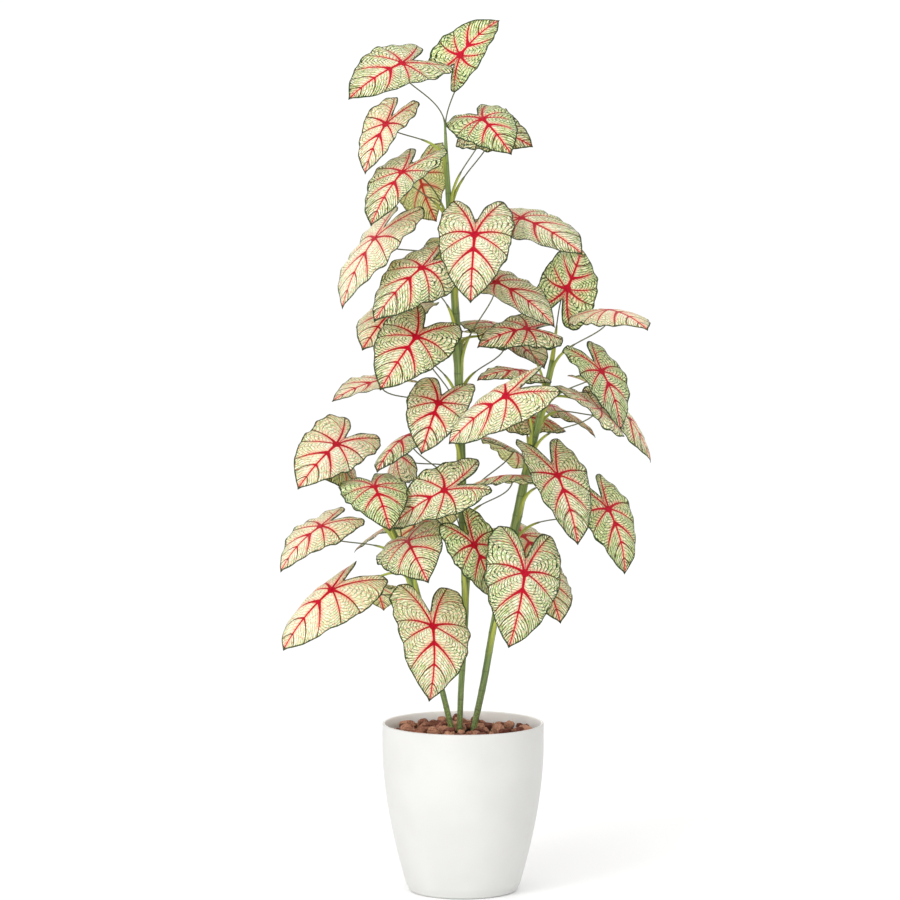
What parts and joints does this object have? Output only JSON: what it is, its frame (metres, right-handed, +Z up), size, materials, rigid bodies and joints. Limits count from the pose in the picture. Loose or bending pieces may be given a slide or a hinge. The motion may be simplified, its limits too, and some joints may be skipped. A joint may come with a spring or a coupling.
{
  "type": "caladium plant in a pot",
  "caption": "Tall caladium house plant: drooping arrow-shaped cream leaves with red veins and a green net, on sheathed stems in a tapered white pot topped with bark chips.",
  "frame": {"origin": "centre of the pot's flat foot, on the surface that it stands on", "axes": "+Z up the plant, -Y toward the picture's viewer, +X to that viewer's right"},
  "size_m": [0.6815, 0.4462, 1.5943],
  "materials": {
    "pot_white": "satin white",
    "soil_brown": "rough, dull",
    "chips_bark": "rough bark, dull",
    "stem_green": "soft satin",
    "leaf_cream": "soft satin leaf"
  },
  "bodies": {
    "root": {"pot": "pot_white", "soil": "soil_brown", "chips": "chips_bark", "stem_center": "stem_green", "stem_left": "stem_green", "stem_right": "stem_green", "leaf_center_01": "leaf_cream", "leaf_center_02": "leaf_cream", "leaf_center_03": "leaf_cream", "leaf_center_04": "leaf_cream", "leaf_center_05": "leaf_cream", "leaf_center_06": "leaf_cream", "leaf_center_07": "leaf_cream", "leaf_center_08": "leaf_cream", "leaf_center_09": "leaf_cream", "leaf_center_10": "leaf_cream", "leaf_center_11": "leaf_cream", "leaf_center_12": "leaf_cream", "leaf_center_13": "leaf_cream", "leaf_center_14": "leaf_cream", "leaf_center_15": "leaf_cream", "leaf_center_16": "leaf_cream", "leaf_center_17": "leaf_cream", "leaf_center_18": "leaf_cream", "leaf_center_19": "leaf_cream", "leaf_center_20": "leaf_cream", "leaf_center_21": "leaf_cream", "leaf_center_22": "leaf_cream", "leaf_center_23": "leaf_cream", "leaf_center_24": "leaf_cream", "leaf_center_25": "leaf_cream", "leaf_center_26": "leaf_cream", "leaf_center_27": "leaf_cream", "leaf_center_28": "leaf_cream", "leaf_right_01": "leaf_cream", "leaf_right_02": "leaf_cream", "leaf_right_03": "leaf_cream", "leaf_right_04": "leaf_cream", "leaf_right_05": "leaf_cream", "leaf_right_06": "leaf_cream", "leaf_right_07": "leaf_cream", "leaf_right_08": "leaf_cream", "leaf_right_09": "leaf_cream", "leaf_right_10": "leaf_cream", "leaf_right_11": "leaf_cream", "leaf_right_12": "leaf_cream", "leaf_right_13": "leaf_cream", "leaf_right_14": "leaf_cream", "leaf_right_15": "leaf_cream", "leaf_left_01": "leaf_cream", "leaf_left_02": "leaf_cream", "leaf_left_03": "leaf_cream", "leaf_left_04": "leaf_cream", "leaf_left_05": "leaf_cream", "leaf_left_06": "leaf_cream", "leaf_left_07": "leaf_cream", "leaf_left_08": "leaf_cream", "leaf_left_09": "leaf_cream", "leaf_left_10": "leaf_cream"}
  },
  "joints": []
}
